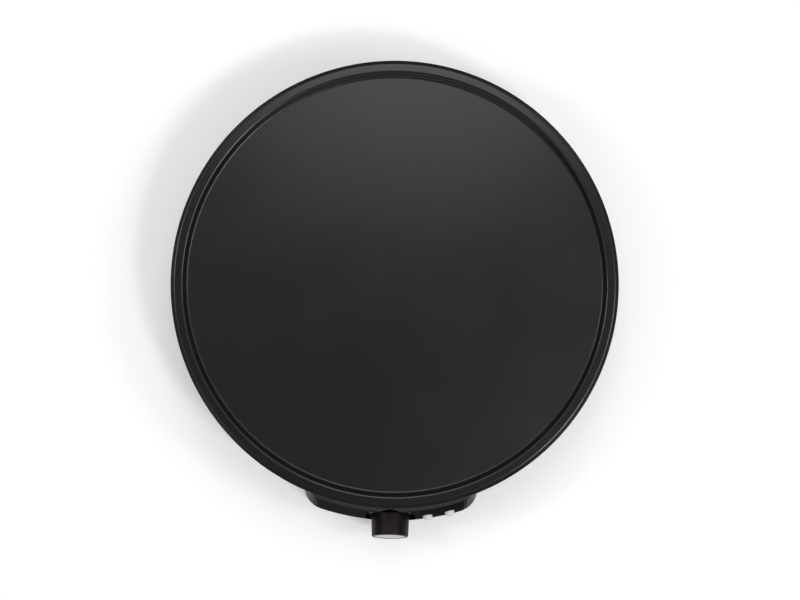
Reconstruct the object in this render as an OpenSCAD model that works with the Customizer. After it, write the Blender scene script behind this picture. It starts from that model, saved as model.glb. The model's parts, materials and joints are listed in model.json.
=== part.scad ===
// Electric crepe maker: a cast, non-stick plate with a low rim on a round base, and a sloped
// control panel at the front with a thermostat knob and two indicator lamps.
// Millimetres, +Z up, +Y to the back. The control panel faces -Y.

/* [Cooking plate] */
// Outer diameter of the cooking plate
plate_d = 380; // [374:1:390]
// Width of the rim's flat top
rim_w = 9; // [8:0.5:12]
// Height of the rim above the cooking surface
rim_h = 4.5; // [3:0.25:6]
// Width of the rim's inner slope
rim_slope_w = 5.5; // [4:0.25:6.5]
// Thickness of the plate's floor
plate_t = 5.5; // [5:0.25:7]
// Height of the plate's outer edge
edge_h = 14; // [13:0.5:16]
// Thickness of the plate's outer edge
edge_t = 5; // [4:0.5:6]

/* [Base] */
// Height from the surface it stands on to the top of the rim
overall_h = 80; // [78:1:90]
// How far the base narrows towards its bottom
base_taper = 16; // [13:0.5:20]
// How far the top of the base lies inside the plate's edge
base_inset = 6; // [5:0.5:8]
// Air gap between the plate's edge and the base
base_gap = 2.5; // [2:0.25:4]
// Wall thickness of the mouldings
wall = 2.5; // [2:0.25:3]
// Thickness of the bottom cover
cover_t = 2.5; // [2:0.25:3]

/* [Feet] */
// Height of the rubber feet
foot_h = 8; // [6:0.5:10]
// Diameter of a foot where it meets the cover
foot_d = 24; // [20:0.5:28]
// How far the feet's centres lie inside the base's bottom edge
foot_inset = 28; // [22:0.5:34]

/* [Control panel] */
// How far the panel's top edge stands out past the plate
panel_reach = 3.7; // [2:0.1:5]
// Height of the sloped band along the panel's top
band_h = 9.7; // [8:0.1:11]
// Slope of that band, away from upright
band_slope = 45; // [40:0.5:50]
// Slope of the face below the band, away from upright
face_slope = 8; // [6:0.5:9]
// Width of the panel at its top edge
panel_top_w = 148; // [144:1:150]
// Width of the panel at its bottom edge
panel_bottom_w = 152; // [150:1:158]
// Height of the panel's bottom edge above the bottom cover's underside
panel_lift = 6; // [5:0.5:7]
// How far the knob and the lamps tilt up
knob_tilt = 15; // [14:0.5:16]
// Height of the knob's centre above the surface it stands on
knob_z = 39; // [38:0.25:40]
// Width of the pocket that is cut into the panel round the knob
seat_w = 43; // [41:0.5:44]
// How deep the middle of the pocket's floor lies below the face
seat_depth = 6.7; // [6:0.1:7]
// How far the pocket's straight top clears the knob
seat_clearance = 1.8; // [1.5:0.1:2]

/* [Knob] */
// Diameter of the knob at its back
knob_d = 33; // [31:0.5:35]
// Diameter of the knob at its front
knob_tip_d = 31.8; // [31:0.1:32.5]
// Length of the knob
knob_len = 19.5; // [18:0.5:21]
// Diameter of the metal disc on the knob's front
cap_d = 27; // [24:0.5:27.5]
// Diameter of the thermostat's shaft
shaft_d = 6; // [5.5:0.25:6.5]

/* [Indicator lamps] */
// Diameter of a lens where it leaves its seat
lens_d = 9; // [8.5:0.25:9.5]
// Diameter of a lens at its tip
lens_tip_d = 5.8; // [5:0.1:6.5]
// How far a lens stands out of its seat
lens_len = 3.7; // [3:0.1:5]
// How far the lens seats lie below the edge between the band and the face
lamp_drop = 0.9; // [0.5:0.1:1.5]
// How far the lens seats lie behind that edge
lamp_depth = 2; // [1.5:0.1:3]

/* [Heating] */
// Radius of the heating element's ring
element_r = 115; // [112:1:118]
// Diameter of the heating element's tube
element_d = 7; // [6:0.25:8]
// How far the reflector lies below the plate's floor
reflector_drop = 18; // [16:0.5:20]
// Distance from the reflector's rim to the centres of the plate's screws
reflector_margin = 18; // [12:0.5:24]
// How far the thermal fuse lies inside the element's ring
fuse_inset = 24; // [20:0.5:28]

/* [Cord entry] */
// Diameter of the hole for the supply cord
cord_hole_d = 7.4; // [6.5:0.1:8]
// Height of the cord entry above the surface it stands on
cord_z = 30; // [28:0.5:34]

/* [Hidden] */
$fn = 64;
ring_fn = 144;
eps = 0.02;
// Clearance between mouldings that fit together
gap = 0.3;
// Radial clearance of a turning shaft, and of a screw in the hole that it holds in
running = 0.05;

// Heights, from the rim down
plate_r = plate_d / 2;
surface_r = plate_r - rim_w - rim_slope_w;
rim_z = overall_h;
surface_z = rim_z - rim_h;
under_z = surface_z - plate_t;
edge_z = rim_z - edge_h;
shelf_top_z = edge_z - base_gap;
shelf_z = shelf_top_z - wall;
cover_z = foot_h;
cover_top_z = cover_z + cover_t;
reflector_t = 0.8;
reflector_z = under_z - reflector_drop;

// Base
base_top_r = plate_r - base_inset;
base_bottom_r = base_top_r - base_taper;
shelf_w = 28;
boss_r = 5;
foot_boss_h = 28;
foot_r = foot_d / 2;
foot_tip_r = foot_r - 2;
foot_reach = base_bottom_r - foot_inset;
foot_angles = [45, 135, 225, 315];

// Screws: shank radius, head radius, head height
m5 = [2.05, 4.4, 3];
m4 = [1.65, 3.6, 2.4];
m3 = [1.25, 2.7, 1.8];

// Plate's fixings
plate_screw_reach = base_top_r - 16;
plate_screw_angles = [0, 60, 120, 180, 240, 300];
washer_t = 1.5;
plate_boss_r = 6;
reflector_r = plate_screw_reach - reflector_margin;
post_inset = 45;
post_reach = element_r - post_inset;
post_angles = [30, 150, 270];
earth_post = 1;

// Heating element and the straps under the plate
element_tube_r = element_d / 2;
element_rib_w = 14;
element_sleeve_r = element_tube_r + 0.3;
element_z = under_z - element_sleeve_r - gap;
element_gap_angle = 12;
element_rib_gap = element_gap_angle + 2;
element_bend_r = 9;
element_sleeve = 3;
element_leg_z = reflector_z - 6;
seal_h = 3;
pin_r = 1.5;
pin_h = 10;
strap_t = 1.2;
strap_w = 11;
strap_boss_r = 4;
strap_margin = 4.5;
clamp_angles = [35, 145, 215, 325];
bulb_r = 3;
bulb_len = 90;
bulb_at = [0, -20];
fuse_r = 2;
fuse_len = 12;
fuse_angle = -112.6;
fuse_at = polar(element_r - fuse_inset, fuse_angle);

// Control panel
panel_top_r = plate_r + panel_reach;
panel_gap = 1;
panel_top_z = shelf_z - panel_gap;
panel_bottom_z = cover_z + panel_lift;
edge_band_z = panel_top_z - band_h;
edge_band_r = panel_top_r + band_h * tan(band_slope);
panel_back = 120;
panel_corner_top = 20;
panel_corner_bottom = 22;
panel_edge_round = 1.2;
panel_inner_r = base_top_r - 12;
panel_boss_r = 4;
panel_screw_reach = base_r(panel_bottom_z - m3[2]) - wall - m3[1] - 2;
panel_screw_lean = 20;
tongue_inner_r = panel_screw_reach - panel_boss_r - 1;
slice_t = 0.01;
seat_r = seat_w / 2;
seat_up = knob_d / 2 + seat_clearance;
seat_corner = 5;
seat_wall = 4;
knob_at = [0, face_r(knob_z) - seat_depth, knob_z];

// Thermostat, in the knob's frame: X right, Y up the face, Z out of it
bracket_t = 1.2;
bracket_w = 38;
bracket_h = 20;
body_w = 32;
body_depth = 20;
body_top = -seat_wall - bracket_t;
body_bottom = body_top - body_depth;
// The body reaches up the face and down to just above the panel's floor
body_up = 16;
body_floor_gap = 1.5;
body_down = (knob_z + body_bottom * sin(knob_tilt)
    - panel_bottom_z - wall - body_floor_gap) / cos(knob_tilt);
shaft_hole = 14;
bushing_r = shaft_d / 2 + 1.5;
fixing_pitch = 28;
shaft_r = shaft_d / 2;
shaft_flat = shaft_r - 1.2;
tab_w = 6.3;
tab_t = 0.8;
tab_len = 8;
tab_at = [-8, 8];
tab_up = (body_up - body_down) / 2;
side_tab_len = 6;
side_tab_at = [tab_up - 6, tab_up + 6];
side_tab_w = 4;

// Knob
knob_gap = 1.4;
knob_back = knob_gap;
knob_front = knob_back + knob_len;
knob_wall = 2;
knob_hub_r = shaft_r + 3;
knob_socket = 12;
knob_round = 1.2;
cap_t = 0.8;
cap_recess = 0.2;
pointer_w = 1.6;
pointer_depth = 0.6;
pointer_angle = 225;
clip_t = 0.4;

// Lamps
lamp_angles = [9.2, 14.7];
lamps_at = [for (a = lamp_angles) [a, edge_band_r - lamp_depth, edge_band_z - lamp_drop]];
lens_seat_r = lens_d / 2 + 1;
lens_wall = 4;
stem_r = lens_d / 2 - 0.8;
retainer_r = stem_r + 2;
stem_len = 8.8;
neon_r = stem_r - 1;
neon_len = 13;
retainer_t = 0.8;

// Cord entry
gland_boss_r = 12;
gland_hole_r = cord_hole_d / 2 + 3.3;
gland_face_y = base_r(cord_z + gland_boss_r);
gland_in_y = base_r(cord_z - gland_boss_r) - wall - 1;
gland_flange_t = 2.5;
gland_flange_r = gland_hole_r + 3;
gland_lip_t = 2;
clamp_y = base_bottom_r - 18;
clamp_w = 34;
clamp_depth = 10;
clamp_bar_h = 8;
clamp_pitch = 24;

// Terminal block
block = [32, 17, 13];
block_y = clamp_y - 38;
block_pitch = 10;
block_hole_z = cover_top_z + 6.5;
lead_d = 2.6;

// The origin lies on the ground under the middle of the whole outline
knob_tip_z = knob_front - knob_round;
front_reach = knob_at[1] + knob_tip_z * cos(knob_tilt)
    + (knob_tip_d / 2 - knob_round) * sin(knob_tilt) + knob_round;
shift_y = (front_reach - plate_r) / 2;

// ---- Shape helpers ----

function unit(v) = v / norm(v);
function wrapped(a) = ((a % 360) + 540) % 360 - 180;
function flat(p) = [p[0], p[1]];

// Points of a rounded corner at b, between its neighbours a and c
function corner_points(a, b, c, r, n) =
    r <= 0 ? [flat(b)] :
    let (u = unit(flat(a) - flat(b)), w = unit(flat(c) - flat(b)))
    let (half = acos(u * w) / 2, centre = flat(b) + unit(u + w) * r / sin(half))
    let (first = flat(b) + u * r / tan(half) - centre, last = flat(b) + w * r / tan(half) - centre)
    let (start = atan2(first[1], first[0]), sweep = wrapped(atan2(last[1], last[0]) - start))
    [for (i = [0:n]) centre + r * [cos(start + sweep * i / n), sin(start + sweep * i / n)]];

// A polygon from [x, y, corner radius] points
function rounded(p, n = 5) = [
    for (i = [0:len(p) - 1])
        each corner_points(p[(i + len(p) - 1) % len(p)], p[i], p[(i + 1) % len(p)], p[i][2], n)
];

// A smooth curve through the points of a route
function between(a, b, c, d, t) =
    0.5 * (2 * b + (c - a) * t + (2 * a - 5 * b + 4 * c - d) * t * t
        + (3 * b - a - 3 * c + d) * t * t * t);
function smooth_route(p, n = 4) = concat(
    [for (i = [0:len(p) - 2], k = [0:n - 1])
        between(p[max(i - 1, 0)], p[i], p[i + 1], p[min(i + 2, len(p) - 1)], k / n)],
    [p[len(p) - 1]]);

function heading(p, i) = unit(p[min(i + 1, len(p) - 1)] - p[max(i - 1, 0)]);
function squared(n, t) = unit(n - (n * t) * t);
function side_vectors(p, i = 0, n = [0.3, 0.2, 1]) =
    i >= len(p) ? [] :
    let (m = squared(n, heading(p, i)))
    concat([m], side_vectors(p, i + 1, m));

// A tube of diameter d along a route
module tube(route, d, sides = 8, n = 4) {
    p = smooth_route(route, n);
    v = side_vectors(p);
    points = [for (i = [0:len(p) - 1], k = [0:sides - 1])
        p[i] + d / 2 * (cos(360 * k / sides) * v[i]
            + sin(360 * k / sides) * cross(heading(p, i), v[i]))];
    walls = [for (i = [0:len(p) - 2], k = [0:sides - 1])
        let (a = i * sides + k, b = i * sides + (k + 1) % sides)
        each [[a, a + sides, b], [b, a + sides, b + sides]]];
    start = [for (k = [0:sides - 1]) k];
    end = [for (k = [0:sides - 1]) len(points) - 1 - k];
    polyhedron(points, concat([start, end], walls));
}

function polar(r, a) = [r * cos(a), r * sin(a)];
function at_z(p, z) = [p[0], p[1], z];

module at_polar(r, a, z = 0) rotate([0, 0, a]) translate([r, 0, z]) children();

// A screw that points up from z = 0, with its head below
module screw(size, length) {
    difference() {
        union() {
            translate([0, 0, -size[2]]) cylinder(r = size[1], h = size[2]);
            translate([0, 0, -eps]) cylinder(r = size[0], h = length + eps);
        }
        for (a = [0, 90]) rotate([0, 0, a])
            translate([-size[1] * 0.55, -size[1] * 0.12, -size[2] - eps])
                cube([size[1] * 1.1, size[1] * 0.24, size[2] * 0.5]);
    }
}

// Radius of the hole that a screw holds in, and of the hole that it passes through
function tapped(size) = size[0] + running;
function passed(size) = size[0] + 0.4;

// The base's outer radius at a height
function base_r(z) = base_bottom_r
    + (base_top_r - base_bottom_r) * (z - cover_z) / (shelf_top_z - cover_z);

// The panel's front radius at a height, and that of a shape that lies t inside it. The face
// and the band meet at edge_height(t).
function face_r(z, t = 0) =
    edge_band_r + (edge_band_z - z) * tan(face_slope) - t / cos(face_slope);
function band_r(z, t = 0) =
    edge_band_r + (edge_band_z - z) * tan(band_slope) - t / cos(band_slope);
function edge_height(t) = edge_band_z
    - t * (1 / cos(band_slope) - 1 / cos(face_slope)) / (tan(band_slope) - tan(face_slope));
function panel_r(z, t) = min(face_r(z, t), band_r(z, t));
function panel_part(z) = (panel_top_z - z) / (panel_top_z - panel_bottom_z);
function panel_half(z) =
    (panel_top_w + (panel_bottom_w - panel_top_w) * min(1, 2 * panel_part(z))) / 2;
function panel_corner(z) =
    panel_corner_top + (panel_corner_bottom - panel_corner_top) * panel_part(z);

// A front arc about the plate's axis, with two round corners and straight sides
function panel_outline(r, half, corner, arc_n = 16, corner_n = 8) =
    let (cx = half - corner, cy = sqrt((r - corner) * (r - corner) - cx * cx), lean = atan(cx / cy))
    concat(
        [[-half, -panel_back]],
        [for (i = [0:corner_n]) let (a = 180 + (90 - lean) * i / corner_n)
            [-cx, -cy] + corner * [cos(a), sin(a)]],
        [for (i = [1:arc_n - 1]) let (a = lean * (2 * i / arc_n - 1)) r * [sin(a), -cos(a)]],
        [for (i = [0:corner_n]) let (a = 270 + lean + (90 - lean) * i / corner_n)
            [cx, -cy] + corner * [cos(a), sin(a)]],
        [[half, -panel_back]]);

module panel_slice(z, t, inset = 0)
    translate([0, 0, z]) linear_extrude(slice_t) polygon(panel_outline(
        panel_r(z, t) - inset, panel_half(z) - t - inset, panel_corner(z) - t - inset));

// The panel's filled shape, t inside its outer surface, with its top and bottom edges broken
module panel_solid(t, low, high, edge) hull() {
    panel_slice(low, t, edge);
    panel_slice(low + edge, t);
    panel_slice(edge_height(t), t);
    panel_slice(high - edge, t);
    panel_slice(high - slice_t, t, edge);
}

// Children are placed on a seat in the panel, whose place is its angle about the plate's axis,
// its distance from it and its height: X to the right, Y up the seat, Z out of it
module on_seat(at) {
    rotate([0, 0, at[0]]) translate([0, -at[1], at[2]]) rotate([90 - knob_tilt, 0, 0]) children();
}

// The same placing for a point
function seat_point(at, p) =
    let (y = -at[1] + p[1] * sin(knob_tilt) - p[2] * cos(knob_tilt))
    let (z = at[2] + p[1] * cos(knob_tilt) + p[2] * sin(knob_tilt))
    [p[0] * cos(at[0]) - y * sin(at[0]), p[0] * sin(at[0]) + y * cos(at[0]), z];

// ---- Cooking plate and what hangs under it ----

// Each strap is [centre, direction across what it holds, half span, height of its top]
clamp_half_span = element_tube_r + strap_margin;
element_straps = [for (a = clamp_angles)
    [polar(element_r, a), a, clamp_half_span, element_z - element_tube_r]];
bulb_strap = [bulb_at, 90, bulb_r + strap_margin, under_z - 2 * bulb_r - gap];
fuse_strap = [fuse_at, 90, fuse_r + strap_margin, under_z - 2 * fuse_r - gap];
function strap_ends(s) = [for (k = [-1, 1]) s[0] + polar(k * s[2], s[1])];

module strap(s) {
    translate(at_z(s[0], s[3] - strap_t)) rotate([0, 0, s[1]]) difference() {
        translate([-s[2] - strap_boss_r, -strap_w / 2, 0])
            cube([2 * (s[2] + strap_boss_r), strap_w, strap_t]);
        for (k = [-1, 1]) translate([k * s[2], 0, -eps])
            cylinder(r = passed(m3), h = strap_t + 2 * eps);
    }
}

module strap_bosses(s)
    for (p = strap_ends(s)) translate(at_z(p, s[3]))
        cylinder(r = strap_boss_r, h = under_z - s[3] + eps);

module strap_holes(s)
    for (p = strap_ends(s)) translate(at_z(p, s[3] - eps))
        cylinder(r = tapped(m3), h = 5);

module strap_screws(s)
    for (p = strap_ends(s)) translate(at_z(p, s[3] - strap_t)) screw(m3, strap_t + 4);

plate_boss_z = shelf_top_z + washer_t;
post_z = reflector_z + reflector_t;

module cooking_plate() color("#2a2c2d") difference() {
    union() {
        rotate_extrude($fn = ring_fn) polygon(rounded([
            [0, under_z, 0],
            [0, surface_z, 0],
            [surface_r, surface_z, 4],
            [surface_r + rim_slope_w, rim_z, 3],
            [plate_r, rim_z, 2.2],
            [plate_r, edge_z, 1],
            [plate_r - edge_t, edge_z, 1],
            [plate_r - edge_t - 1, under_z, 2],
        ]));
        rotate([0, 0, -90 + element_rib_gap])
            rotate_extrude(angle = 360 - 2 * element_rib_gap, $fn = ring_fn)
                translate([element_r - element_rib_w / 2, element_z])
                    square([element_rib_w, under_z - element_z + eps]);
        for (a = plate_screw_angles) at_polar(plate_screw_reach, a, plate_boss_z)
            cylinder(r = plate_boss_r, h = under_z - plate_boss_z + eps);
        for (a = post_angles) at_polar(post_reach, a, post_z)
            cylinder(r = boss_r, h = under_z - post_z + eps);
        for (s = concat(element_straps, [bulb_strap, fuse_strap])) strap_bosses(s);
    }
    rotate_extrude($fn = ring_fn)
        translate([element_r, element_z]) circle(r = element_tube_r + gap / 2);
    for (a = plate_screw_angles) at_polar(plate_screw_reach, a, plate_boss_z - eps)
        cylinder(r = tapped(m5), h = 8);
    for (a = post_angles) at_polar(post_reach, a, post_z - eps)
        cylinder(r = tapped(m4), h = 12);
    for (s = concat(element_straps, [bulb_strap, fuse_strap])) strap_holes(s);
}

// Centre of the straight leg at each end of the element, side is -1 or 1
function element_end_angle(side) = -90 + side * element_gap_angle;
function element_leg(side) =
    let (a = element_end_angle(side))
    polar(element_r, a) + side * element_bend_r * [sin(a), -cos(a)];

module heating_element() color("#8d8f90") {
    rotate([0, 0, -90 + element_gap_angle])
        rotate_extrude(angle = 360 - 2 * element_gap_angle, $fn = ring_fn)
            translate([element_r, element_z]) circle(r = element_tube_r);
    for (side = [-1, 1]) {
        rotate([0, 0, element_end_angle(side)])
            translate([element_r, 0, element_z - element_bend_r])
                rotate([0, 0, side < 0 ? 90 : -90]) rotate([90, 0, 0])
                    rotate_extrude(angle = 90)
                        translate([element_bend_r, 0]) circle(r = element_tube_r);
        translate(at_z(element_leg(side), element_leg_z))
            cylinder(r = element_tube_r, h = element_z - element_bend_r - element_leg_z);
        // Sleeves where the bend meets the leg and the ring
        translate(at_z(element_leg(side), element_z - element_bend_r - element_sleeve + 1))
            cylinder(r = element_sleeve_r, h = element_sleeve);
        rotate([0, 0, element_end_angle(side)]) translate([element_r, 0, element_z])
            rotate([90, 0, 0]) cylinder(r = element_sleeve_r, h = element_sleeve, center = true);
    }
}

module element_seals() color("#e9e4d8")
    for (side = [-1, 1]) translate(at_z(element_leg(side), element_leg_z - seal_h))
        difference() {
            cylinder(r = element_tube_r - 0.3, h = seal_h);
            translate([0, 0, -eps]) cylinder(r = pin_r + running, h = seal_h + 2 * eps);
        }

module element_pins() color("#b9b9b4")
    for (side = [-1, 1]) translate(at_z(element_leg(side), element_leg_z - pin_h))
        cylinder(r = pin_r, h = pin_h);

module element_clamps() color("#a9abac") for (s = element_straps) strap(s);
module bulb_clamp() color("#a9abac") strap(bulb_strap);
module fuse_clamp() color("#a9abac") strap(fuse_strap);
module clamp_screws() color("#c4c4c0")
    for (s = concat(element_straps, [bulb_strap, fuse_strap])) strap_screws(s);

module plate_washers() color("#d8cfae")
    for (a = plate_screw_angles) at_polar(plate_screw_reach, a, shelf_top_z) difference() {
        cylinder(r = plate_boss_r, h = washer_t);
        translate([0, 0, -eps]) cylinder(r = passed(m5), h = washer_t + 2 * eps);
    }

module plate_screws() color("#c4c4c0")
    for (a = plate_screw_angles) at_polar(plate_screw_reach, a, shelf_z)
        screw(m5, wall + washer_t + 7);

module sensing_bulb() color("#b5703c")
    translate([bulb_at[0] - bulb_len / 2, bulb_at[1], under_z - bulb_r - gap / 2])
        rotate([0, 90, 0]) cylinder(r = bulb_r, h = bulb_len);

module thermal_fuse() color("#c9c4b4")
    translate([fuse_at[0] - fuse_len / 2, fuse_at[1], under_z - fuse_r - gap / 2])
        rotate([0, 90, 0]) cylinder(r = fuse_r, h = fuse_len);

// ---- Reflector ----

reflector_rim_h = 7;
leg_hole_r = element_tube_r + 2.5;
lead_hole_r = 5;
fuse_in_at = fuse_at + [22, 0];
fuse_out_at = fuse_at - [22, 0];
capillary_inset = 39;
capillary_at = polar(element_r - capillary_inset, -35.4);

module heat_reflector() color("#bfc3c4") difference() {
    rotate_extrude($fn = ring_fn) polygon([
        [0, reflector_z],
        [reflector_r - 3, reflector_z],
        [reflector_r, reflector_z + reflector_rim_h],
        [reflector_r - reflector_t, reflector_z + reflector_rim_h],
        [reflector_r - 3 - reflector_t * 0.7, reflector_z + reflector_t],
        [0, reflector_z + reflector_t],
    ]);
    for (a = post_angles) at_polar(post_reach, a, reflector_z - 1)
        cylinder(r = passed(m4), h = 3);
    for (side = [-1, 1]) translate(at_z(element_leg(side), reflector_z - 1))
        cylinder(r = leg_hole_r, h = 3);
    for (p = [fuse_in_at, fuse_out_at, capillary_at]) translate(at_z(p, reflector_z - 1))
        cylinder(r = lead_hole_r, h = 3);
}

// The earth tab lies between the reflector and the head of one of its screws
module reflector_screws() color("#c4c4c0")
    for (i = [0:len(post_angles) - 1])
        at_polar(post_reach, post_angles[i], reflector_z - (i == earth_post ? tab_t : 0))
            screw(m4, reflector_t + 9);

earth_tab_len = 16;
module earth_tab() color("#c9a64a")
    at_polar(post_reach, post_angles[earth_post], reflector_z - tab_t) difference() {
        union() {
            cylinder(r = 4.5, h = tab_t);
            translate([-earth_tab_len, -tab_w / 2, 0]) cube([earth_tab_len, tab_w, tab_t]);
        }
        translate([0, 0, -eps]) cylinder(r = passed(m4), h = tab_t + 2 * eps);
    }

// ---- Base ----

module base_filled(inset) rotate_extrude($fn = ring_fn) polygon([
    [0, cover_z], [base_bottom_r - inset, cover_z], [base_top_r - inset, shelf_top_z],
    [0, shelf_top_z],
]);

module base_housing() color("#17181a") difference() {
    union() {
        difference() {
            rotate_extrude($fn = ring_fn) polygon(rounded([
                [base_bottom_r, cover_z, 0.8],
                [base_top_r, shelf_top_z, 3],
                [base_top_r - shelf_w, shelf_top_z, 0],
                [base_top_r - shelf_w, shelf_z, 0],
                [base_r(shelf_z) - wall, shelf_z, 1.5],
                [base_bottom_r - wall, cover_z, 0],
            ]));
            panel_solid(-gap, panel_bottom_z - gap, panel_top_z + gap, panel_edge_round);
        }
        for (side = [-1, 1])
            at_polar(panel_screw_reach, -90 + side * panel_screw_lean, panel_bottom_z + wall)
                cylinder(r = panel_boss_r, h = shelf_z - panel_bottom_z - wall + eps);
        for (a = foot_angles) {
            at_polar(foot_reach, a, cover_top_z) cylinder(r = boss_r, h = foot_boss_h);
            intersection() {
                rotate([0, 0, a]) translate([foot_reach, -wall / 2, cover_top_z])
                    cube([base_top_r - foot_reach, wall, foot_boss_h]);
                base_filled(wall / 2);
            }
        }
        translate([0, gland_in_y, cord_z]) rotate([-90, 0, 0])
            cylinder(r = gland_boss_r, h = gland_face_y - gland_in_y);
    }
    for (side = [-1, 1])
        at_polar(panel_screw_reach, -90 + side * panel_screw_lean, panel_bottom_z + wall - eps)
            cylinder(r = tapped(m3), h = 12);
    for (a = foot_angles) at_polar(foot_reach, a, cover_top_z - eps)
        cylinder(r = tapped(m4), h = 14);
    for (a = plate_screw_angles) at_polar(plate_screw_reach, a, shelf_z - eps)
        cylinder(r = passed(m5), h = wall + 2 * eps);
    translate([0, gland_in_y - 1, cord_z]) rotate([-90, 0, 0])
        cylinder(r = gland_hole_r, h = gland_face_y - gland_in_y + 2);
}

cover_r = base_bottom_r - wall - gap;
vent_count = 12;
vent_from = 62;
vent_to = 94;
vent_w = 4;

module vent_slot() {
    translate([vent_from, -vent_w / 2, 0]) cube([vent_to - vent_from, vent_w, cover_t + 2]);
    for (x = [vent_from, vent_to]) translate([x, 0, 0]) cylinder(d = vent_w, h = cover_t + 2);
}

module bottom_cover() color("#1b1c1e") difference() {
    union() {
        translate([0, 0, cover_z]) cylinder(r = cover_r, h = cover_t, $fn = ring_fn);
        translate([-clamp_w / 2, clamp_y - clamp_depth / 2, cover_top_z - eps])
            cube([clamp_w, clamp_depth, cord_z - gap - cover_top_z + eps]);
    }
    translate([0, clamp_y - clamp_depth, cord_z]) rotate([-90, 0, 0])
        cylinder(r = cord_hole_d / 2, h = 2 * clamp_depth);
    for (side = [-1, 1])
        translate([side * clamp_pitch / 2, clamp_y, cord_z - gap - 10])
            cylinder(r = tapped(m3), h = 12);
    for (a = foot_angles) at_polar(foot_reach, a, cover_z - 1)
        cylinder(r = passed(m4), h = cover_t + 2);
    for (side = [-1, 1]) translate([side * block_pitch / 2, block_y, cover_z + 0.6])
        cylinder(r = tapped(m3), h = cover_t);
    for (i = [0:vent_count - 1]) rotate([0, 0, 360 * (i + 0.5) / vent_count])
        translate([0, 0, cover_z - 1]) vent_slot();
}

foot_screw_z = foot_h / 2;
module rubber_feet() color("#0e0e0f")
    for (a = foot_angles) at_polar(foot_reach, a) difference() {
        cylinder(r1 = foot_tip_r, r2 = foot_r, h = foot_h);
        translate([0, 0, -eps]) cylinder(r = m4[1] + 1, h = foot_screw_z + eps);
        cylinder(r = passed(m4), h = foot_h + 1);
    }

module foot_screws() color("#c4c4c0")
    for (a = foot_angles) at_polar(foot_reach, a, foot_screw_z)
        screw(m4, foot_h - foot_screw_z + cover_t + 12);

// ---- Control panel ----

module panel_filled() panel_solid(0, panel_bottom_z, panel_top_z, panel_edge_round);

// The knob's pocket: half round below, square with round corners above
module seat_shape(h, margin = 0) {
    r = seat_r + margin;
    cylinder(r = r, h = h);
    linear_extrude(h) polygon(rounded([
        [-r, 0, 0], [r, 0, 0],
        [r, seat_up + margin, seat_corner], [-r, seat_up + margin, seat_corner],
    ], 8));
}

module front_panel() color("#121314") difference() {
    union() {
        difference() {
            panel_filled();
            panel_solid(wall, panel_bottom_z + wall, panel_top_z - wall, slice_t);
            translate([0, 0, panel_bottom_z + wall])
                cylinder(r = panel_inner_r, h = overall_h, $fn = ring_fn);
            cylinder(r = tongue_inner_r, h = overall_h, $fn = ring_fn);
        }
        // Thick places behind the seats
        intersection() {
            panel_filled();
            union() {
                on_seat(knob_at) translate([0, 0, -seat_wall])
                    seat_shape(seat_wall + seat_r, wall);
                for (at = lamps_at) on_seat(at) translate([0, 0, -lens_wall])
                    cylinder(r = lens_seat_r + wall / 2, h = lens_wall + panel_lift);
            }
        }
    }
    on_seat(knob_at) {
        seat_shape(seat_r);
        translate([0, 0, -seat_wall - 1]) {
            cylinder(r = bushing_r + gap, h = seat_wall + 2);
            for (side = [-1, 1]) translate([side * fixing_pitch / 2, 0, 0])
                cylinder(r = passed(m4), h = seat_wall + 2);
        }
        for (side = [-1, 1]) translate([side * fixing_pitch / 2, 0, -m4[2]])
            cylinder(r1 = passed(m4), r2 = m4[1] + 0.2, h = m4[2] + eps);
    }
    for (at = lamps_at) on_seat(at) {
        cylinder(r = lens_seat_r, h = lens_seat_r);
        translate([0, 0, -lens_wall - 1]) cylinder(r = stem_r + running, h = lens_wall + 2);
    }
    for (side = [-1, 1])
        at_polar(panel_screw_reach, -90 + side * panel_screw_lean, panel_bottom_z - 1)
            cylinder(r = passed(m3), h = wall + 2);
}

module panel_screws() color("#c4c4c0") for (side = [-1, 1])
    at_polar(panel_screw_reach, -90 + side * panel_screw_lean, panel_bottom_z)
        screw(m3, wall + 10);

module lens(at) on_seat(at) difference() {
    union() {
        translate([0, 0, -stem_len]) cylinder(r = stem_r, h = stem_len + eps);
        rotate_extrude() polygon(rounded([
            [0, 0, 0], [lens_d / 2, 0, 0], [lens_d / 2, 0.6, 0], [lens_tip_d / 2, lens_len, 0.8],
            [0, lens_len, 0],
        ]));
    }
    translate([0, 0, -stem_len - eps]) cylinder(r = neon_r + 0.2, h = stem_len - 1);
}
module power_lens() color("#f1f1ee") lens(lamps_at[0]);
module heating_lens() color("#f1f1ee") lens(lamps_at[1]);

// A neon lamp: a glass tube with a round nose, inside the lens's stem
neon_top = -1.5;
module neon(at) on_seat(at) {
    translate([0, 0, neon_top - neon_len]) cylinder(r = neon_r, h = neon_len - neon_r);
    translate([0, 0, neon_top - neon_r]) intersection() {
        sphere(r = neon_r);
        translate([-neon_r, -neon_r, -eps]) cube([2 * neon_r, 2 * neon_r, neon_r + eps]);
    }
}
module power_lamp() color("#d98a5a") neon(lamps_at[0]);
module heating_lamp() color("#d98a5a") neon(lamps_at[1]);

module lens_retainers() color("#a9abac") for (at = lamps_at) on_seat(at)
    translate([0, 0, -lens_wall - gap - retainer_t]) difference() {
        cylinder(r = retainer_r, h = retainer_t);
        translate([0, 0, -eps]) cylinder(r = stem_r + running, h = retainer_t + 2 * eps);
    }

// ---- Thermostat ----

module thermostat_bracket() color("#b9bbbb") on_seat(knob_at)
    translate([0, 0, body_top]) difference() {
        translate([-bracket_w / 2, -bracket_h / 2, 0]) cube([bracket_w, bracket_h, bracket_t]);
        translate([0, 0, -eps]) cylinder(r = bushing_r + running, h = bracket_t + 2 * eps);
        for (side = [-1, 1]) translate([side * fixing_pitch / 2, 0, -eps])
            cylinder(r = tapped(m4), h = bracket_t + 2 * eps);
    }

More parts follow.
